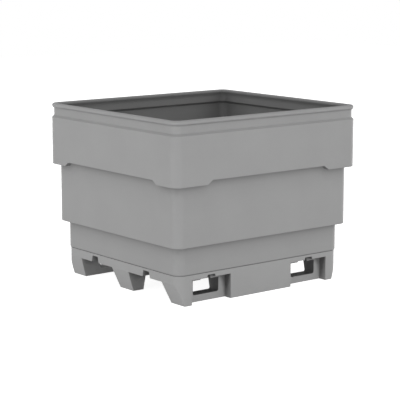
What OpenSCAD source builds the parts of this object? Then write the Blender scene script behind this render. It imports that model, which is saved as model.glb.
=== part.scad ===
// Combo bin: a straight-walled bulk harvest tub bolted down on its own pallet base.
// Millimetres, +Z up, origin on the ground under the middle of the bin.
// X runs along the long side, Y along the short side.

/* [Footprint] */
// Length of the band, the widest part of the bin
band_l = 1219.2; // [1120:0.1:1400]
// Width of the band
band_w = 1117.6; // [1040:0.1:1300]
// Height from the ground to the top of the rim
total_h = 939.8; // [880:0.1:1200]
// Radius of the upright corners of every tier and of the base
corner_r = 50.8; // [44:0.1:70]

/* [Tub] */
// Wall thickness of the tub
wall = 8; // [6:0.5:14]
// Thickness of the tub's floor
floor_t = 10; // [8:0.5:18]
// Height of the ledge under the middle tier
mid_z = 302; // [250:1:380]
// Step in from the band's face to the middle tier's face
mid_inset = 31.6; // [20:0.1:42]
// Step in from the band's face to the lower tier's face
lower_inset = 63.2; // [50:0.1:80]
// Radius of the lower tier's bottom edge
foot_round = 9; // [4:0.5:14]
// Height of the band's lower edge between the corner lobes
band_z = 632.5; // [560:0.5:680]
// How far the corner lobes hang below the band's lower edge
lobe_drop = 21.5; // [10:0.5:40]
// Length of a corner lobe along the long side
lobe_l = 204.6; // [140:0.1:300]
// Length of a corner lobe along the short side
lobe_w = 153.8; // [120:0.1:300]
// Run of the slope from a lobe up to the band's lower edge
lobe_slope = 30; // [10:1:60]

/* [Rim] */
// Diameter of the round bead on the rim
bead_d = 25.4; // [24:0.1:32]
// Step in from the band's face to the outside of the bead
bead_inset = 1.3; // [0:0.1:6]
// Step in from the band's face to the neck, which is also the height of the 45 degree shoulder
neck_inset = 11; // [6:0.5:14]
// Depth from the top of the rim down to the top of the shoulder
neck_drop = 65; // [50:1:90]

/* [Pallet base] */
// Height of the pallet base, on which the tub sits
base_h = 155; // [145:1:190]
// Step in from the band's face to the base's face
base_inset = 66.5; // [60:0.1:90]
// Wall thickness of the hollow base moulding
base_wall = 7; // [5:0.5:9]
// Height of the deck's underside, which is the height of the fork channels
fork_h = 110; // [100:1:116]
// How far the ends of the feet slope in from the apron down to the ground
end_slope = 43; // [20:1:60]
// Thickness of the long runners under the deck
runner_w = 134.5; // [120:0.5:150]
// How far the inner face of a runner slopes towards its outer face at the ground
runner_draft = 24.2; // [10:0.1:30]
// Length of a corner foot on the long side
foot_l = 88.6; // [80:0.1:130]
// Length of the middle foot on the long side
mid_foot_l = 409; // [360:1:450]
// Depth of the recess between the feet on the long side
recess_d = 47.3; // [30:0.1:55]
// Height of the apron's edge above the recess
recess_z = 129; // [122:1:134]
// Width of the post on each side of a window in the recess wall
post_w = 42.5; // [34:0.5:55]
// Height of the strap under a window
strap_h = 36; // [28:1:50]
// Radius of a window's lower corners
window_r = 10; // [5:0.5:20]
// Width of the middle row of feet under the deck
keel_w = 147; // [130:1:170]
// How far each side of the middle row slopes in at the ground
keel_draft = 15.5; // [8:0.5:20]
// Length of an end foot of the middle row under the deck
keel_end_l = 117.5; // [100:0.5:130]
// How far the inner end of such a foot slopes towards its outer end at the ground
keel_end_draft = 9.4; // [5:0.1:14]
// Width of a drain groove at the deck's underside
groove_w = 64; // [50:1:74]
// Width of a drain groove at its top
groove_top_w = 47; // [36:1:48]
// Depth of a drain groove in the deck
groove_d = 33; // [20:1:34]
// Distance between the two grooves that run along X
groove_gap_y = 456; // [420:1:480]
// Distance between the two grooves that run along Y
groove_gap_x = 660; // [620:1:700]

/* [Fasteners] */
// Thread diameter of the bolts that hold the tub on the base
bolt_d = 12; // [8:0.5:12]
// Thickness of a bolt's hex head
head_h = 7.5; // [6:0.1:8]
// Width across the flats of a bolt's hex head
head_af = 18; // [15:0.5:19]
// Outer diameter of a washer
washer_d = 30; // [26:0.5:32]
// Thickness of a washer
washer_t = 2.5; // [2:0.1:3]
// Chamfer on the end of a bolt
bolt_chamfer = 1; // [0.5:0.1:2]
// Clear length of an insert's bore past the end of its bolt
bolt_end_gap = 1; // [0.5:0.1:3]
// Gap round a washer in its pocket under the deck
pocket_gap = 2; // [1:0.5:3]
// Length of a threaded insert
insert_l = 20; // [16:0.5:21]
// Outer diameter of a threaded insert
insert_d = 20; // [18:0.5:22]
// Depth of the waist round the middle of an insert
insert_waist = 2; // [1:0.5:2.5]
// Thickness of an insert's closed top
insert_top = 2; // [1.5:0.5:4]
// Outer diameter of the boss under the tub's floor that holds an insert
boss_d = 36; // [32:0.5:38]
// Height of that boss, which sits in a socket in the base
boss_h = 15; // [12:0.5:16]
// Gap left round parts that fit into each other
clearance = 0.3; // [0.2:0.05:0.5]

/* [Hidden] */
$fn = 64;
// Overshoot of a cutting shape past the face that it cuts
over = 1;
bolt_columns = 3;
bolt_rows = 4;
bolt_count = bolt_columns * bolt_rows;
bolt_ids = [for (i = [1 : bolt_count]) i];

plastic_grey = [0.6, 0.6, 0.6];

half_l = band_l / 2;
half_w = band_w / 2;
lobe_z = band_z - lobe_drop;
shoulder_z = total_h - neck_drop - neck_inset;
bead_z = total_h - bead_d / 2;
bead_centre_inset = bead_inset + bead_d / 2;
base_half_l = half_l - base_inset;
base_half_w = half_w - base_inset;

recess_far = base_half_l - foot_l;
recess_near = mid_foot_l / 2;
window_far = recess_far - post_w;
window_near = recess_near + post_w;
keel_inner_x = base_half_l - keel_end_l;
groove_y = groove_gap_y / 2;
groove_x = groove_gap_x / 2;
groove_slope = (groove_w - groove_top_w) / 2;

// The bolts stand in the clear strips of the deck, between the grooves and the feet
bolt_y_inner = (keel_w / 2 + groove_y - groove_w / 2) / 2;
bolt_y_outer = (groove_y + groove_w / 2 + base_half_w - runner_w) / 2;
bolt_x_outer = (groove_x + groove_w / 2 + base_half_l) / 2;
bolt_xs = [-bolt_x_outer, 0, bolt_x_outer];
bolt_ys = [-bolt_y_outer, -bolt_y_inner, bolt_y_inner, bolt_y_outer];

insert_z = base_h - boss_h;
socket_z = insert_z - clearance;
seat_z = fork_h + head_h + washer_t + clearance;
pocket_d = washer_d + 2 * pocket_gap;
column_d = pocket_d + 2 * base_wall;
bore_end_z = insert_z + insert_l - insert_top;
bolt_end_z = bore_end_z - bolt_end_gap;
// The waist takes the middle third of an insert
insert_band = insert_l / 3;

// Half width, at height z, of a form whose side leans in by run over rise from half_low at z_low,
// measured after the side has moved out by g
function leaning(half_low, z, z_low, run, rise, g) =
    half_low - (z - z_low) * run / rise + g * sqrt(run * run + rise * rise) / rise;

// A block with upright rounded corners, centred on the Z axis
module rounded_block(half_x, half_y, r, z_low, z_high) {
    translate([0, 0, z_low])
        linear_extrude(z_high - z_low)
            union() {
                square([2 * half_x, 2 * (half_y - r)], center = true);
                square([2 * (half_x - r), 2 * half_y], center = true);
                for (sx = [-1, 1], sy = [-1, 1])
                    translate([sx * (half_x - r), sy * (half_y - r)])
                        circle(r);
            }
}

// Carries a wall section, drawn as step in (x) against height (y), round a rounded rectangle
module round_the_wall(half_x, half_y, r) {
    for (side = [0, 1])
        rotate([0, 0, 180 * side]) {
            translate([half_x, r - half_y, 0])
                rotate([90, 0, 180])
                    linear_extrude(2 * (half_y - r))
                        children();
            translate([half_x - r, half_y, 0])
                rotate([90, 0, 270])
                    linear_extrude(2 * (half_x - r))
                        children();
            translate([half_x - r, half_y - r, 0])
                rotate_extrude(angle = 90)
                    translate([r, 0])
                        mirror([1, 0])
                            children();
            translate([r - half_x, half_y - r, 0])
                rotate([0, 0, 90])
                    rotate_extrude(angle = 90)
                        translate([r, 0])
                            mirror([1, 0])
                                children();
        }
}

// A prism along Y with leaning sides, from z_low to z_high; the sides lean in by run over rise
// from half_low at z_base, and stand out by g
module leaning_block(half_low, z_base, run, rise, g, z_low, z_high, half_length) {
    low = leaning(half_low, z_low, z_base, run, rise, g);
    high = leaning(half_low, z_high, z_base, run, rise, g);
    rotate([90, 0, 0])
        linear_extrude(2 * half_length, center = true)
            polygon([
                [-low, z_low],
                [low, z_low],
                [high, z_high],
                [-high, z_high]
            ]);
}

// Space under the band between its corner lobes, along one pair of sides
module lobe_gap(half_length, lobe, half_depth, g) {
    leaning_block(
        half_length - lobe, lobe_z, lobe_slope, lobe_drop, g,
        lobe_z + g - over, band_z + g, half_depth
    );
}

// A block with upright corners of radius r, centred on the Z axis. The child draws its section
// across, step out (x) against height (y), for a half width of $reach.
module sectioned_block(half_x, half_y, r) {
    rotate([90, 0, 0])
        linear_extrude(2 * (half_y - r), center = true)
            let ($reach = half_x)
                children();
    rotate([90, 0, 90])
        linear_extrude(2 * (half_x - r), center = true)
            let ($reach = half_y)
                children();
    for (sx = [-1, 1], sy = [-1, 1])
        translate([sx * (half_x - r), sy * (half_y - r), 0])
            rotate_extrude()
                intersection() {
                    let ($reach = r)
                        children();
                    square([r, total_h]);
                }
}

// Section of the band, from z_low up to z_turn, with the 45 degree shoulder above it
module band_section(z_low, z_turn) {
    polygon([
        [-$reach, z_low],
        [$reach, z_low],
        [$reach, z_turn],
        [$reach - neck_inset, z_turn + neck_inset],
        [neck_inset - $reach, z_turn + neck_inset],
        [-$reach, z_turn]
    ]);
}

// The tub's tiers, shoulder and neck, taken in by g on every side; g is zero for the outside.
// Each tier reaches a little way into the next wider one, so that they grow into one piece.
module tier_form(g) {
    r = corner_r - g;
    // The inner face turns in sooner than the outer one, so that the wall keeps its thickness
    turn_z = shoulder_z - g * tan(22.5);
    low_z = base_h + (g > 0 ? floor_t : foot_round);
    rounded_block(half_l - lower_inset - g, half_w - lower_inset - g, r, low_z, mid_z + g + over);
    rounded_block(half_l - mid_inset - g, half_w - mid_inset - g, r, mid_z + g, band_z + g + over);
    difference() {
        sectioned_block(half_l - g, half_w - g, r)
            band_section(lobe_z + g, turn_z);
        lobe_gap(half_l, lobe_l, half_w, g);
        rotate([0, 0, 90])
            lobe_gap(half_w, lobe_w, half_l, g);
    }
    rounded_block(
        half_l - neck_inset - g, half_w - neck_inset - g, r - neck_inset,
        turn_z, bead_z + g
    );
}

// Rounded bottom edge of the lower tier, closed over by the flat floor
module foot_edge() {
    face_l = half_l - lower_inset;
    face_w = half_w - lower_inset;
    // The floor's block and the rounded rim overlap, so that they grow into one piece
    block_inset = 1.5 * foot_round;
    rounded_block(
        face_l - block_inset, face_w - block_inset, corner_r - block_inset,
        base_h, base_h + block_inset
    );
    round_the_wall(face_l, face_w, corner_r)
        intersection() {
            translate([0, base_h])
                square([2 * foot_round, foot_round]);
            union() {
                translate([foot_round, base_h + foot_round])
                    circle(foot_round);
                translate([foot_round, base_h])
                    square(foot_round);
            }
        }
}

// The round bead along the top of the neck
module bead() {
    round_the_wall(half_l, half_w, corner_r)
        translate([bead_centre_inset, bead_z])
            circle(bead_d / 2);
}

// One piece: stepped walls, floor, rim and the insert bosses under the floor
module tub() {
    color(plastic_grey)
        difference() {
            union() {
                difference() {
                    union() {
                        tier_form(0);
                        foot_edge();
                    }
                    tier_form(wall);
                }
                bead();
                for (x = bolt_xs, y = bolt_ys)
                    translate([x, y, insert_z])
                        cylinder(d = boss_d, h = boss_h + floor_t / 2);
            }
            for (x = bolt_xs, y = bolt_ys)
                translate([x, y, 0])
                    insert_form(clearance / 2);
        }
}

// The four drain grooves under the deck, grown by g for the hollow inside
module grooves(g) {
    for (side = [-1, 1]) {
        translate([side * groove_x, 0, 0])
            leaning_block(
                groove_w / 2, fork_h, groove_slope, groove_d, g,
                fork_h - over, fork_h + groove_d + g, half_w
            );
        translate([0, side * groove_y, 0])
            rotate([0, 0, 90])
                leaning_block(
                    groove_w / 2, fork_h, groove_slope, groove_d, g,
                    fork_h - over, fork_h + groove_d + g, half_l
                );
    }
}

// The two long runners with their feet, before the recesses and windows are cut
module runners(g) {
    inner_low = base_half_w - runner_w + runner_draft;
    for (side = [0, 180])
        rotate([0, 0, side])
            rotate([90, 0, 90])
                linear_extrude(2 * half_l, center = true)
                    polygon([
                        [leaning(inner_low, g, 0, runner_draft, fork_h, g), g],
                        [half_w, g],
                        [half_w, base_h - g],
                        [leaning(inner_low, base_h - g, 0, runner_draft, fork_h, g), base_h - g]
                    ]);
}

// The middle row: a foot at each end and a long one at the centre
module keel(g) {
    end_low = keel_inner_x + keel_end_draft;
    intersection() {
        rotate([0, 0, 90])
            leaning_block(
                keel_w / 2 - keel_draft, 0, -keel_draft, fork_h, -g,
                g, fork_h + g, half_l
            );
        union() {
            leaning_block(
                recess_near - keel_draft, 0, -keel_draft, fork_h, -g,
                g, fork_h + g, half_w
            );
            difference() {
                translate([-half_l, -half_w, g])
                    cube([2 * half_l, 2 * half_w, fork_h]);
                leaning_block(
                    end_low, 0, keel_end_draft, fork_h, g,
                    g - over, fork_h + g + over, half_w + over
                );
            }
        }
    }
}

// The recesses between the feet of each long side, and the windows through their walls
module side_openings(g) {
    wall_y = base_half_w - recess_d;
    window_l = window_far - window_near;
    for (sx = [-1, 1], sy = [-1, 1])
        scale([sx, sy, 1]) {
            translate([recess_near - g, wall_y - g, -over])
                cube([recess_far - recess_near + 2 * g, half_w, recess_z + g + over]);
            translate([window_near - g, half_w, strap_h - g])
                rotate([90, 0, 0])
                    linear_extrude(half_w - keel_w)
                        union() {
                            translate([0, window_r])
                                square([window_l + 2 * g, fork_h - strap_h + 2 * g - window_r]);
                            translate([window_r, 0])
                                square([window_l + 2 * g - 2 * window_r, 2 * window_r]);
                            translate([window_r, window_r])
                                circle(window_r);
                            translate([window_l + 2 * g - window_r, window_r])
                                circle(window_r);
                        }
        }
}

// The whole base taken in by g on every side; g is zero for the outside
module base_form(g) {
    r = corner_r - g;
    difference() {
        union() {
            rounded_block(base_half_l - g, base_half_w - g, r, fork_h + g, base_h - g);
            intersection() {
                rounded_block(base_half_l - g, base_half_w - g, r, g, base_h - g);
                leaning_block(
                    base_half_l - end_slope, 0, -end_slope, fork_h, -g,
                    g, base_h - g, half_w
                );
                union() {
                    runners(g);
                    keel(g);
                }
            }
        }
        grooves(g);
        side_openings(g);
    }
}

// One hollow moulding: deck, runners and feet, with a solid column round each bolt
module pallet_base() {
    color(plastic_grey)
        difference() {
            base_form(0);
            difference() {
                base_form(base_wall);
                for (x = bolt_xs, y = bolt_ys)
                    translate([x, y, fork_h])
                        cylinder(d = column_d, h = base_h - fork_h);
            }
            for (x = bolt_xs, y = bolt_ys)
                translate([x, y, 0]) {
                    translate([0, 0, socket_z])
                        cylinder(d = boss_d + 2 * clearance, h = base_h - socket_z + over);
                    translate([0, 0, fork_h - over])
                        cylinder(d = pocket_d, h = seat_z - fork_h + over);
                    cylinder(d = bolt_d + 2 * clearance, h = base_h);
                }
        }
}

// Outside of a threaded insert, with a waist that locks it in its boss, grown by g
module insert_form(g) {
    low_end = g > 0 ? over : 0;
    translate([0, 0, insert_z - low_end])
        cylinder(d = insert_d + 2 * g, h = insert_band + low_end + g);
    translate([0, 0, insert_z])
        cylinder(d = insert_d - 2 * insert_waist + 2 * g, h = insert_l);
    translate([0, 0, insert_z + 2 * insert_band - g])
        cylinder(d = insert_d + 2 * g, h = insert_band + 2 * g);
}

function bolt_x(i) = bolt_xs[(i - 1) % bolt_columns];
function bolt_y(i) = bolt_ys[floor((i - 1) / bolt_columns)];

// A hex bolt, head down in its pocket under the deck; the thread is a plain shank
module bolt(i) {
    head_z = seat_z - washer_t - head_h;
    // The hexagon's corners are turned off at 30 degrees
    corner_low_d = head_af - bolt_chamfer;
    color([0.72, 0.72, 0.74])
        translate([bolt_x(i), bolt_y(i), 0]) {
            intersection() {
                translate([0, 0, head_z])
                    cylinder(d = head_af / cos(30), h = head_h, $fn = 6);
                translate([0, 0, head_z])
                    cylinder(d1 = corner_low_d, d2 = corner_low_d + 2 * head_h / tan(30), h = head_h);
            }
            translate([0, 0, head_z + head_h / 2])
                cylinder(d = bolt_d, h = bolt_end_z - bolt_chamfer - head_z - head_h / 2);
            translate([0, 0, bolt_end_z - bolt_chamfer])
                cylinder(d1 = bolt_d, d2 = bolt_d - 2 * bolt_chamfer, h = bolt_chamfer);
        }
}

// A wide flat washer under the bolt's head
module washer(i) {
    color([0.72, 0.72, 0.74])
        translate([bolt_x(i), bolt_y(i), seat_z - washer_t])
            difference() {
                cylinder(d = washer_d, h = washer_t);
                translate([0, 0, -over])
                    cylinder(d = bolt_d + 2 * clearance, h = washer_t + 2 * over);
            }
}

// A threaded insert moulded into the tub's boss, closed at the top
module insert(i) {
    color([0.8, 0.68, 0.35])
        translate([bolt_x(i), bolt_y(i), 0])
            difference() {
                insert_form(0);
                translate([0, 0, insert_z - over])
                    cylinder(d = bolt_d + clearance, h = bore_end_z - insert_z + over);
            }
}

tub();
pallet_base();
for (i = bolt_ids) {
    bolt(i);
    washer(i);
    insert(i);
}
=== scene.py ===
import math

import bmesh
import bpy
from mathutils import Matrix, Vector
from mathutils.bvhtree import BVHTree


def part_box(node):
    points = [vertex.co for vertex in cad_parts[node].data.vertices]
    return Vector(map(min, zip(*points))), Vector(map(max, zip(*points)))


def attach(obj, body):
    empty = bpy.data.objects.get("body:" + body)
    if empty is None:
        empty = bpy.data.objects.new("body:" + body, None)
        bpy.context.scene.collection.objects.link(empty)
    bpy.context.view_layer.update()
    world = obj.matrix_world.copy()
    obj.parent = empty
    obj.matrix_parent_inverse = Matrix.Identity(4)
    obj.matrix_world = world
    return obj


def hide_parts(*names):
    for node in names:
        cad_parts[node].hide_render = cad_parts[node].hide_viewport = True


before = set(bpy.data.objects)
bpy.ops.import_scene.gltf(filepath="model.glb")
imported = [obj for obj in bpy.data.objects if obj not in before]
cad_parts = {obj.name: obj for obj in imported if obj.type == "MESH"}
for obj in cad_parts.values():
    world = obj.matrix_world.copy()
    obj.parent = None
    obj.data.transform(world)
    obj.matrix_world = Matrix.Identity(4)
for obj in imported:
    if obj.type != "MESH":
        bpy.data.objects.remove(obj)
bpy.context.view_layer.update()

# The tub is one thick moulding in mid-grey polyethylene: three tiers that widen upwards, a wide
# band with a lobe hanging at each corner, a sloping shoulder, a drawn-in neck and a round bead.
# Its wall is the same thickness throughout, so the inside follows the outside.
tub_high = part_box("tub")[1]
base_low, base_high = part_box("pallet_base")
BAND_X = tub_high.x
BAND_Y = tub_high.y
TOP_Z = tub_high.z
SEAT_Z = base_high.z
CORNER_R = 0.0508
WALL = 0.008
FLOOR = 0.010
MIDDLE_Z = 0.302
MIDDLE_INSET = 0.0316
LOWER_INSET = 0.0632
FOOT_ROUND = 0.009
BAND_Z = 0.6325
LOBE_DROP = 0.0215
LOBE_SLOPE = 0.030
SLOPE_SOFTNESS = 0.12
LOBE_X = BAND_X - 0.2046
LOBE_Y = BAND_Y - 0.1538
BEAD_R = 0.0127
BEAD_INSET = 0.0013 + BEAD_R
BEAD_Z = TOP_Z - BEAD_R
NECK_INSET = 0.011
SHOULDER_Z = TOP_Z - 0.065 - NECK_INSET
EDGE_R = 0.004
COVE_R = 0.012
LIP_R = 0.003
UNDER_BEAD_R = 0.045
FLOOR_STEP = 0.036
FLOOR_GRID = 0.08
BOSS_R = 0.0185
SEAT_SHARE = 0.8
SAME_POINT = 1e-6
SAME_LEVEL = 1e-5


def arc(inset, z, radius, start, end, steps):
    """Points on part of a circle in the wall's section: 0 degrees is inwards, 90 is up."""
    turns = [math.radians(start + (end - start) * k / steps) for k in range(steps + 1)]
    return [(inset + radius * math.cos(a), z + radius * math.sin(a)) for a in turns]


def ramp(distance):
    """How far the band's lower edge has risen, from 0 over a lobe to 1 between the lobes."""
    s = distance / LOBE_SLOPE
    soft = SLOPE_SOFTNESS
    if s <= -soft or s >= 1 + soft:
        return float(s > 0.5)
    if s < soft:
        return (s + soft) ** 2 / (4 * soft)
    if s > 1 - soft:
        return 1 - (1 + soft - s) ** 2 / (4 * soft)
    return s


def side_stations(lobe, end):
    """Where the columns of the mesh stand along one straight side, closest at the lobes' slopes."""
    slope = [lobe - LOBE_SLOPE * k / 10 for k in range(-2, 13)]
    outer = lobe + LOBE_SLOPE
    plain = [outer + (end - outer) * k / 3 for k in (2, 1, 0)]
    half = plain + slope + [lobe * share for share in (0.75, 0.5, 0.25)]
    return [-x for x in half] + [0.0] + half[::-1]


CORNER_STEPS = 10


def ring(inset, height, radius, follows):
    """One level of the wall: points round a rounded rectangle. follows is 1 where the level goes
    up and down with the band's lower edge, and 0 where it is flat."""
    x, y = BAND_X - inset, BAND_Y - inset
    points = []
    for turn in range(4):
        half, across, lobe = ((y, x, LOBE_Y), (x, y, LOBE_X))[turn % 2]
        side = Vector((0, 1)) if turn % 2 == 0 else Vector((-1, 0))
        out = Vector((1, 0)) if turn % 2 == 0 else Vector((0, 1))
        if turn > 1:
            side, out = -side, -out
        for station in side_stations(lobe, half - radius):
            p = out * across + side * station
            points.append((p.x, p.y, height + follows * LOBE_DROP * ramp(lobe - abs(station))))
        centre = out * (across - radius) + side * (half - radius)
        for k in range(CORNER_STEPS + 1):
            a = math.radians(90 * k / CORNER_STEPS)
            p = centre + radius * (out * math.cos(a) + side * math.sin(a))
            points.append((p.x, p.y, height))
    return points


def skin_levels():
    """The wall's section from the middle of the floor, up the inside, over the bead and down the
    outside: step in from the band's face, height, corner radius and how it follows the lobes."""
    levels = []

    def add(points, face, radius, follows=0):
        for inset, z in points:
            levels.append((inset, z, radius + face - inset, follows))

    inner_r = CORNER_R - WALL
    lower, middle, neck = LOWER_INSET + WALL, MIDDLE_INSET + WALL, NECK_INSET + WALL
    floor_z = SEAT_Z + FLOOR
    ledge_z = MIDDLE_Z + WALL
    lobe_z = BAND_Z - LOBE_DROP
    lobe_ledge_z = lobe_z + WALL
    bend = math.tan(math.radians(22.5))
    turn_z = SHOULDER_Z - WALL * bend
    lip_z = turn_z + NECK_INSET
    e, c = EDGE_R, COVE_R
    add([(lower + FLOOR_STEP, floor_z)], lower, inner_r)
    add(arc(lower + c, floor_z + c, c, 270, 180, 5), lower, inner_r)
    add(arc(lower - e, ledge_z - e, e, 0, 90, 4), lower, inner_r)
    add(arc(middle + e, ledge_z + e, e, 270, 180, 4), middle, inner_r)
    add(arc(middle - e, lobe_ledge_z - e, e, 0, 90, 4), middle, inner_r, 1)
    add(arc(WALL + e, lobe_ledge_z + e, e, 270, 180, 4), WALL, inner_r, 1)
    add(arc(WALL + LIP_R, turn_z - LIP_R * bend, LIP_R, 180, 135, 2), WALL, inner_r)
    add(arc(neck - LIP_R, lip_z + LIP_R * bend, LIP_R, -45, 0, 2), WALL, inner_r)
    across = neck + UNDER_BEAD_R - BEAD_INSET
    drop = math.sqrt((BEAD_R + UNDER_BEAD_R) ** 2 - across ** 2)
    inside = math.degrees(math.atan2(drop, across))
    outside = math.degrees(math.acos((BEAD_INSET - NECK_INSET) / BEAD_R))
    add(arc(neck + UNDER_BEAD_R, BEAD_Z - drop, UNDER_BEAD_R, 180, 180 - inside, 6), WALL, inner_r)
    add(arc(BEAD_INSET, BEAD_Z, BEAD_R, -inside, 180 + outside, 30)[1:], 0, CORNER_R)
    add(arc(NECK_INSET - e, SHOULDER_Z + NECK_INSET + e * bend, e, 0, -45, 3), 0, CORNER_R)
    add(arc(e, SHOULDER_Z - e * bend, e, 135, 180, 3), 0, CORNER_R)
    add(arc(e, lobe_z + e, e, 180, 270, 4), 0, CORNER_R, 1)
    add(arc(MIDDLE_INSET - e, lobe_z - e, e, 90, 0, 4), MIDDLE_INSET, CORNER_R, 1)
    add(arc(MIDDLE_INSET + e, MIDDLE_Z + e, e, 180, 270, 4), MIDDLE_INSET, CORNER_R)
    add(arc(LOWER_INSET - e, MIDDLE_Z - e, e, 90, 0, 4), LOWER_INSET, CORNER_R)
    foot = LOWER_INSET + FOOT_ROUND
    add(arc(foot, SEAT_Z + FOOT_ROUND, FOOT_ROUND, 180, 270, 6), LOWER_INSET, CORNER_R)
    add([(LOWER_INSET + FLOOR_STEP, SEAT_Z)], LOWER_INSET, CORNER_R)
    return levels


STEPS_FROM_END = (0.005, 0.012, 0.022, 0.038, 0.065, 0.11)
SHORTEST_HALVED = 0.02


def with_steps_between(levels):
    """Adds levels on the long flat stretches, close together near their ends."""
    full = [levels[0]]
    for low, high in zip(levels, levels[1:]):
        length = math.hypot(high[0] - low[0], high[1] - low[1])
        near = [d for d in STEPS_FROM_END if d < 0.45 * length]
        middle = [0.5 * length] if length > SHORTEST_HALVED else []
        for d in near + middle + [length - d for d in near[::-1]]:
            full.append(tuple(a + (b - a) * d / length for a, b in zip(low, high)))
        full.append(high)
    return full


def finished_object(name, mesh):
    """Turns a mesh in the making into an object with every face smooth-shaded. Faces keep the side
    they look to, so a sealed hollow inside a piece stays a hollow."""
    data = bpy.data.meshes.new(name)
    mesh.to_mesh(data)
    mesh.free()
    for face in data.polygons:
        face.use_smooth = True
    piece = bpy.data.objects.new(name, data)
    bpy.context.scene.collection.objects.link(piece)
    return piece


def shade_by_area(piece):
    """Lets the large faces set the shading, so that only the rounded edges look round."""
    weighted = piece.modifiers.new("shade_by_area", "WEIGHTED_NORMAL")
    weighted.weight = 100
    weighted.keep_sharp = True


def cut_in_planes(mesh, axis, low, high, step, level=None):
    """Cuts faces along evenly spaced planes across one axis: all faces, or those at one level."""
    normal = [float(k == axis) for k in range(3)]
    count = round((high - low) / step)
    for k in range(1, count):
        at = [c * (low + (high - low) * k / count) for c in normal]
        faces = [
            f for f in mesh.faces
            if level is None or abs(f.calc_center_median().z - level) < SAME_LEVEL
        ]
        edges = list(dict.fromkeys(e for f in faces for e in f.edges))
        points = list(dict.fromkeys(v for f in faces for v in f.verts))
        bmesh.ops.bisect_plane(
            mesh, geom=points + edges + faces, dist=SAME_POINT, plane_co=at, plane_no=normal
        )


def add_bosses(mesh, edge_ring):
    """Closes the floor's underside round the twelve bosses, whose faces, with the seats of the
    inserts in them, are taken from the CAD tub."""
    cad = bmesh.new()
    cad.from_mesh(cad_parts["tub"].data)
    bmesh.ops.remove_doubles(cad, verts=cad.verts, dist=SAME_POINT)
    inserts = [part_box(name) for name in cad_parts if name.startswith("insert_")]
    axes = [(low + high) / 2 for low, high in inserts]
    copies = {}
    for face in cad.faces:
        middle = face.calc_center_median()
        near = any(math.hypot(middle.x - a.x, middle.y - a.y) < BOSS_R for a in axes)
        level = all(abs(v.co.z - SEAT_Z) < SAME_LEVEL for v in face.verts)
        if near and not level and middle.z < SEAT_Z + FLOOR * SEAT_SHARE:
            for v in face.verts:
                if v.index not in copies:
                    copies[v.index] = mesh.verts.new(v.co)
            mesh.faces.new([copies[v.index] for v in face.verts])
    cad.free()
    rims = {edge for v in copies.values() for edge in v.link_edges if edge.is_boundary}
    rims = sorted(rims, key=lambda edge: [c for v in edge.verts for c in v.co])
    outer = dict.fromkeys(edge for v in edge_ring for edge in v.link_edges if edge.is_boundary)
    bmesh.ops.triangle_fill(mesh, use_beauty=True, edges=[*outer, *rims], normal=(0, 0, -1))


mesh = bmesh.new()
rings = [[mesh.verts.new(p) for p in ring(*level)] for level in with_steps_between(skin_levels())]
count = len(rings[0])
for low, high in zip(rings, rings[1:]):
    for i in range(count):
        j = (i + 1) % count
        mesh.faces.new((low[i], low[j], high[j], high[i]))
mesh.faces.new(rings[0])
add_bosses(mesh, rings[-1])
bmesh.ops.remove_doubles(mesh, verts=mesh.verts, dist=SAME_POINT)
for axis, reach in enumerate((BAND_X, BAND_Y)):
    cut_in_planes(mesh, axis, -reach, reach, FLOOR_GRID, SEAT_Z + FLOOR)
bmesh.ops.recalc_face_normals(mesh, faces=mesh.faces)
tub_shell = finished_object("tub_shell", mesh)
shade_by_area(tub_shell)


def named_group(name, inputs, outputs):
    """An empty shader node group with its sockets, each given as name, kind and default."""
    tree = bpy.data.node_groups.new(name, "ShaderNodeTree")
    for label, kind, default in inputs:
        socket = tree.interface.new_socket(label, in_out="INPUT", socket_type="NodeSocket" + kind)
        socket.default_value = default
    for label, kind in outputs:
        tree.interface.new_socket(label, in_out="OUTPUT", socket_type="NodeSocket" + kind)
    return tree, tree.nodes.new("NodeGroupInput"), tree.nodes.new("NodeGroupOutput")


def noise_at(tree, coords, scale, detail, roughness=0.5):
    """A noise texture in the object's own metres; its scale is features per metre."""
    noise = tree.nodes.new("ShaderNodeTexNoise")
    noise.inputs["Scale"].default_value = scale
    noise.inputs["Detail"].default_value = detail
    noise.inputs["Roughness"].default_value = roughness
    tree.links.new(coords, noise.inputs["Vector"])
    return noise.outputs["Fac"]


def remap(tree, value, low, high, to_low, to_high):
    """Stretches part of a value's range to another range, and holds it at the ends."""
    node = tree.nodes.new("ShaderNodeMapRange")
    ends = {"From Min": low, "From Max": high, "To Min": to_low, "To Max": to_high}
    for label, number in ends.items():
        node.inputs[label].default_value = number
    tree.links.new(value, node.inputs["Value"])
    return node.outputs["Result"]


def combine(tree, kind, a, b):
    """A sum, product or other two-value operation, on sockets or plain numbers."""
    node = tree.nodes.new("ShaderNodeMath")
    node.operation = kind
    for slot, value in enumerate((a, b)):
        if isinstance(value, (int, float)):
            node.inputs[slot].default_value = value
        else:
            tree.links.new(value, node.inputs[slot])
    return node.outputs[0]


# Moulded polyethylene: a slightly cloudy grey, a fine even grain from the mould's blasted face,
# and a faint waviness over the large walls; shade is painted into the grey where the surface is
# closed in. Scales are features per metre, heights metres.
CLOUD_SCALE = 5.0
MOTTLE_SCALE = 70.0
GRAIN_SCALE = 900.0
WAVE_SCALE = 3.0
GRAIN_HEIGHT = 0.00012
WAVE_HEIGHT = 0.0008
GLOSS_SPREAD = 0.05
CLOUD_SHARE = 0.02
PLASTIC_ROUGHNESS = 0.6
PLASTIC_SPECULAR = 0.3
BUMP_STRENGTH = 0.6


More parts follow.
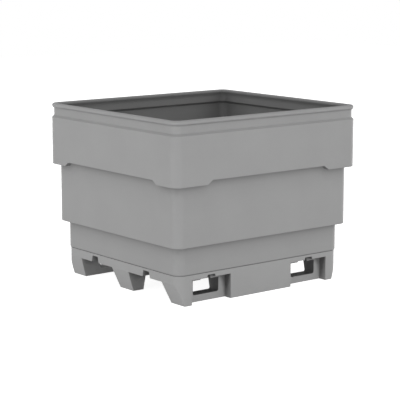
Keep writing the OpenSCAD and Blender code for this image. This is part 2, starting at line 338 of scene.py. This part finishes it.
def moulded_grain_group():
    tree, ins, outs = named_group(
        "moulded_grain",
        [
            ("Colour", "Color", (0.5, 0.5, 0.5, 1)),
            ("Cloud", "Float", 0.04),
            ("Roughness", "Float", 0.55),
            ("Open", "Float", 1.0),
            ("Still", "Float", 0.0),
            ("Airy", "Float", 1.0),
            ("Darkest_Shade", "Float", 1.0),
        ],
        [("Colour", "Color"), ("Roughness", "Float"), ("Height", "Float")],
    )
    coords = tree.nodes.new("ShaderNodeTexCoord").outputs["Object"]
    cloud = noise_at(tree, coords, CLOUD_SCALE, 4)
    mottle = noise_at(tree, coords, MOTTLE_SCALE, 3)
    grain = noise_at(tree, coords, GRAIN_SCALE, 2)
    wave = noise_at(tree, coords, WAVE_SCALE, 1)
    broad = remap(tree, cloud, 0.3, 0.7, -1, 1)
    shade = combine(tree, "ADD", broad, remap(tree, mottle, 0.3, 0.7, -0.5, 0.5))
    gain = combine(tree, "ADD", combine(tree, "MULTIPLY", shade, ins.outputs["Cloud"]), 1.0)
    # Painted shade: the grey is multiplied down towards the darkest share where the openness is
    # low, in crevices, inside the tub and on edges that look down.
    shade_gain = tree.nodes.new("ShaderNodeMapRange")
    ends = {"Value": "Open", "From Min": "Still", "From Max": "Airy", "To Min": "Darkest_Shade"}
    for label, outlet in ends.items():
        tree.links.new(ins.outputs[outlet], shade_gain.inputs[label])
    gain = combine(tree, "MULTIPLY", gain, shade_gain.outputs["Result"])
    tint = tree.nodes.new("ShaderNodeVectorMath")
    tint.operation = "SCALE"
    tree.links.new(ins.outputs["Colour"], tint.inputs[0])
    tree.links.new(gain, tint.inputs["Scale"])
    tree.links.new(tint.outputs[0], outs.inputs["Colour"])
    spread = remap(tree, mottle, 0.3, 0.7, -GLOSS_SPREAD, GLOSS_SPREAD)
    gloss = combine(tree, "ADD", spread, ins.outputs["Roughness"])
    tree.links.new(gloss, outs.inputs["Roughness"])
    fine = combine(tree, "MULTIPLY", grain, GRAIN_HEIGHT)
    relief = combine(tree, "ADD", fine, combine(tree, "MULTIPLY", wave, WAVE_HEIGHT))
    tree.links.new(relief, outs.inputs["Height"])
    return tree


moulded_grain = moulded_grain_group()


def moulded_plastic(name, grey, still, airy, darkest_shade):
    """A polyethylene material in the given grey, with shade painted into its colour: where the
    openness is below the lower bound, the grey is multiplied by the darkest share, and where it is
    above the upper bound, the grey is left whole."""
    material = bpy.data.materials.new(name)
    material.use_nodes = True
    tree = material.node_tree
    shader = tree.nodes["Principled BSDF"]
    shader.inputs["Specular IOR Level"].default_value = PLASTIC_SPECULAR
    group = tree.nodes.new("ShaderNodeGroup")
    group.node_tree = moulded_grain
    group.inputs["Colour"].default_value = (grey, grey, grey, 1)
    group.inputs["Cloud"].default_value = CLOUD_SHARE
    group.inputs["Roughness"].default_value = PLASTIC_ROUGHNESS
    openness = tree.nodes.new("ShaderNodeAttribute")
    openness.attribute_name = "openness"
    tree.links.new(openness.outputs["Fac"], group.inputs["Open"])
    # Painted shade: these set how far the grey darkens in closed-in places.
    for label, value in (("Still", still), ("Airy", airy), ("Darkest_Shade", darkest_shade)):
        group.inputs[label].default_value = value
    bump = tree.nodes.new("ShaderNodeBump")
    bump.inputs["Strength"].default_value = BUMP_STRENGTH
    bump.inputs["Distance"].default_value = 1.0
    tree.links.new(group.outputs["Height"], bump.inputs["Height"])
    tree.links.new(group.outputs["Colour"], shader.inputs["Base Color"])
    tree.links.new(group.outputs["Roughness"], shader.inputs["Roughness"])
    tree.links.new(bump.outputs["Normal"], shader.inputs["Normal"])
    return material


# Painted shade in the tub's grey: it falls with the openness to 0.35 of itself where the tub is
# fully closed in, as inside it and in its creases.
TUB_STILL = 0.0
TUB_AIRY = 1.0
TUB_DARKEST_SHADE = 0.35
TUB_GREY = 0.32
tub_grey = moulded_plastic("tub_polyethylene", TUB_GREY, TUB_STILL, TUB_AIRY, TUB_DARKEST_SHADE)
tub_shell.data.materials.append(tub_grey)
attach(tub_shell, "root")
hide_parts("tub")

# The pallet base is a hollow moulding of the same plastic: deck, two long runners with windows,
# a middle row of feet. All of its edges come out of the mould slightly rounded.
BASE_EDGE_R = 0.002
ROUNDED_FROM = 18
FLAT_WITHIN = 0.5
BASE_CELL = (0.03, 0.03, 0.0155)


def rounded_copy(node, radius):
    """A mesh of a CAD node with its flat faces made whole and its edges rounded, where two faces
    meet at more than ROUNDED_FROM degrees."""
    mesh = bmesh.new()
    mesh.from_mesh(node.data)
    bmesh.ops.remove_doubles(mesh, verts=mesh.verts, dist=SAME_POINT)
    bmesh.ops.dissolve_limit(
        mesh,
        angle_limit=math.radians(FLAT_WITHIN),
        verts=mesh.verts,
        edges=mesh.edges,
        delimit={"NORMAL"},
    )
    blank = finished_object("blank", mesh)
    rounding = blank.modifiers.new("rounded_edges", "BEVEL")
    rounding.width = radius
    rounding.segments = 3
    rounding.limit_method = "ANGLE"
    rounding.angle_limit = math.radians(ROUNDED_FROM)
    rounding.use_clamp_overlap = True
    mesh = bmesh.new()
    mesh.from_object(blank, bpy.context.evaluated_depsgraph_get())
    bpy.data.objects.remove(blank)
    return mesh


mesh = rounded_copy(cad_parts["pallet_base"], BASE_EDGE_R)
for axis, step in enumerate(BASE_CELL):
    cut_in_planes(mesh, axis, base_low[axis], base_high[axis], step)
base_shell = finished_object("base_shell", mesh)
shade_by_area(base_shell)
# Painted shade in the base's grey: 0.42 of itself where the openness is at or below 0.42, rising to
# the whole grey at 0.6.
BASE_STILL = 0.42
BASE_AIRY = 0.6
BASE_DARKEST_SHADE = 0.42
# Painted light: the base's grey is set a little lighter than the tub's 0.32 to offset the shade
# near the floor, though both are the same plastic.
BASE_LIFTED_GREY = 0.34
base_grey = moulded_plastic("base_polyethylene", BASE_LIFTED_GREY, BASE_STILL, BASE_AIRY, BASE_DARKEST_SHADE)
base_shell.data.materials.append(base_grey)
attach(base_shell, "root")
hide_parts("pallet_base")

# Painted shade: both shells' grey is darkened in crevices and on edges that look down.
# Every point of both shells gets a number from 0, deep in a crevice, to 1, wide open, by looking
# out in all directions from that point. Looks towards the ground count for little.
LOOKS = 64
LOOK_FAR = 0.25
LOOK_DOWN = 0.35
LOOK_BLEND = 0.6
LOOK_START = 0.0008
GOLDEN_ANGLE = 137.50776
SPOTS_PER_METRE = 5000
OUT_STEPS = 20


def outward_looks():
    """Directions over a half sphere round +Z, denser towards the middle."""
    golden = math.radians(GOLDEN_ANGLE)
    looks = []
    for k in range(LOOKS):
        sine = math.sqrt((k + 0.5) / LOOKS)
        x, y = sine * math.cos(golden * k), sine * math.sin(golden * k)
        looks.append(Vector((x, y, math.sqrt(1 - sine * sine))))
    return looks


def look_share(aim):
    """How much a look in this direction counts: 1 upwards and LOOK_DOWN downwards."""
    return LOOK_DOWN + (1 - LOOK_DOWN) * min(1.0, max(0.0, 0.5 + aim.z / LOOK_BLEND))


def record_openness(shells):
    """Writes the openness of every vertex. The bin is symmetric, so like points are worked out
    once."""
    points, faces = [], []
    for shell in shells:
        first = len(points)
        points += [v.co.copy() for v in shell.data.vertices]
        faces += [[first + i for i in f.vertices] for f in shell.data.polygons]
    tree = BVHTree.FromPolygons(points, faces)
    looks = outward_looks()
    open_wall = LOOKS * (1 + LOOK_DOWN) / 2
    known = {}
    for shell in shells:
        values = []
        for vertex in shell.data.vertices:
            spot = Vector((-abs(vertex.co.x), -abs(vertex.co.y), vertex.co.z))
            sides = (1 if vertex.co.x <= 0 else -1, 1 if vertex.co.y <= 0 else -1)
            out = Vector((vertex.normal.x * sides[0], vertex.normal.y * sides[1], vertex.normal.z))
            key = (
                *(round(c * SPOTS_PER_METRE) for c in spot),
                *(round(c * OUT_STEPS) for c in out),
            )
            if key not in known:
                turn = out.to_track_quat("Z", "Y").to_matrix()
                start = spot + out * LOOK_START
                aims = [turn @ look for look in looks]
                free = [a for a in aims if tree.ray_cast(start, a, LOOK_FAR)[0] is None]
                clear = sum(look_share(aim) for aim in free)
                known[key] = min(1.0, clear / open_wall)
            values.append(known[key])
        layer = shell.data.attributes.new("openness", "FLOAT", "POINT")
        layer.data.foreach_set("value", values)


record_openness([tub_shell, base_shell])

# Twelve zinc-plated hex bolts, each with a wide washer, go up through the deck into brass inserts
# moulded into the tub's floor. Only their heads show, in the round pockets under the deck.
STREAK_SCALE = 260.0
STREAK_SHADE = 0.8
STREAK_GLOSS = 0.08
ZINC_ROUGHNESS = 0.38
BRASS_ROUGHNESS = 0.3


def plated_metal(name, colour, roughness):
    """A plated or turned metal with fine streaks."""
    material = bpy.data.materials.new(name)
    material.use_nodes = True
    tree = material.node_tree
    shader = tree.nodes["Principled BSDF"]
    shader.inputs["Metallic"].default_value = 1.0
    coords = tree.nodes.new("ShaderNodeTexCoord").outputs["Object"]
    streak = noise_at(tree, coords, STREAK_SCALE, 4)
    tint = tree.nodes.new("ShaderNodeMix")
    tint.data_type = "RGBA"
    tint.inputs["A"].default_value = (*[STREAK_SHADE * v for v in colour], 1)
    tint.inputs["B"].default_value = (*colour, 1)
    tree.links.new(streak, tint.inputs["Factor"])
    tree.links.new(tint.outputs["Result"], shader.inputs["Base Color"])
    gloss = remap(tree, streak, 0.3, 0.7, roughness - STREAK_GLOSS, roughness + STREAK_GLOSS)
    tree.links.new(gloss, shader.inputs["Roughness"])
    return material


zinc = plated_metal("zinc_plate", (0.62, 0.62, 0.63), ZINC_ROUGHNESS)
brass = plated_metal("turned_brass", (0.78, 0.6, 0.3), BRASS_ROUGHNESS)
for name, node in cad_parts.items():
    if name.startswith(("bolt_", "washer_", "insert_")):
        node.data.materials.clear()
        node.data.materials.append(brass if name.startswith("insert_") else zinc)

# The studio: a pale floor, an even sky all round, and the camera at the photograph's place.
FLOOR_REACH = 14.0
FLOOR_GREY = 0.8
FLOOR_GLOW = 0.9
mesh = bmesh.new()
sides = ((-1, -1), (1, -1), (1, 1), (-1, 1))
mesh.faces.new([mesh.verts.new((x * FLOOR_REACH, y * FLOOR_REACH, 0)) for x, y in sides])
floor = finished_object("studio_floor", mesh)
paper = bpy.data.materials.new("pale_paper")
paper.use_nodes = True
tree = paper.node_tree
tree.nodes.clear()
shader = tree.nodes.new("ShaderNodeBsdfDiffuse")
shader.inputs["Color"].default_value = (FLOOR_GREY, FLOOR_GREY, FLOOR_GREY, 1)
glow = tree.nodes.new("ShaderNodeEmission")
path = tree.nodes.new("ShaderNodeLightPath")
seen = combine(tree, "MAXIMUM", path.outputs["Is Camera Ray"], path.outputs["Is Glossy Ray"])
tree.links.new(combine(tree, "MULTIPLY", seen, FLOOR_GLOW), glow.inputs["Strength"])
both = tree.nodes.new("ShaderNodeAddShader")
out = tree.nodes.new("ShaderNodeOutputMaterial")
tree.links.new(shader.outputs[0], both.inputs[0])
tree.links.new(glow.outputs[0], both.inputs[1])
tree.links.new(both.outputs[0], out.inputs["Surface"])
floor.data.materials.append(paper)

world = bpy.data.worlds.new("even_sky")
bpy.context.scene.world = world
world.use_nodes = True
tree = world.node_tree
sky = tree.nodes["Background"]
sky.inputs["Color"].default_value = (1, 1, 1, 1)
SKY_LIGHT = 0.62
path = tree.nodes.new("ShaderNodeLightPath")
seen = combine(tree, "MAXIMUM", path.outputs["Is Camera Ray"], path.outputs["Is Glossy Ray"])
seen = combine(tree, "MAXIMUM", seen, path.outputs["Is Transmission Ray"])
backdrop = tree.nodes.new("ShaderNodeMix")
tree.links.new(seen, backdrop.inputs["Factor"])
backdrop.inputs["A"].default_value = SKY_LIGHT
backdrop.inputs["B"].default_value = 1.0
tree.links.new(backdrop.outputs["Result"], sky.inputs["Strength"])

# Four softboxes stand low and far off, one before each face and no higher than the rim, so that
# they light the outside of the bin and not the inside.
LAMP_AWAY = 5.0
LAMP_HIGH = 0.86
LAMP_WIDE = 2.0
LAMP_WATTS = 63.5
for k in range(4):
    around = math.radians(90 * k)
    lamp_data = bpy.data.lights.new(f"low_softbox_{k}", "AREA")
    lamp_data.shape = "RECTANGLE"
    lamp_data.size = LAMP_WIDE
    lamp_data.size_y = LAMP_HIGH
    lamp_data.energy = LAMP_WATTS
    lamp = bpy.data.objects.new(f"low_softbox_{k}", lamp_data)
    lamp.location = (LAMP_AWAY * math.cos(around), LAMP_AWAY * math.sin(around), LAMP_HIGH / 2)
    lamp.rotation_euler = (math.radians(90), 0, around + math.radians(90))
    lamp.visible_camera = False
    bpy.context.scene.collection.objects.link(lamp)

# The camera stands where a fit to the bin's edges in the photo puts it, in metres and degrees.
SENSOR_WIDE = 36.0
LENS = 131.714
CAMERA_PLACE = (-4.83874, -6.07364, 1.76955)
CAMERA_TILT = 80.12706
CAMERA_TURN = -38.4703
camera_data = bpy.data.cameras.new("camera")
camera_data.sensor_width = SENSOR_WIDE
camera_data.lens = LENS
camera = bpy.data.objects.new("camera", camera_data)
camera.location = CAMERA_PLACE
camera.rotation_euler = (math.radians(CAMERA_TILT), 0, math.radians(CAMERA_TURN))
bpy.context.scene.collection.objects.link(camera)
bpy.context.scene.camera = camera
bpy.context.scene.view_settings.view_transform = "Standard"
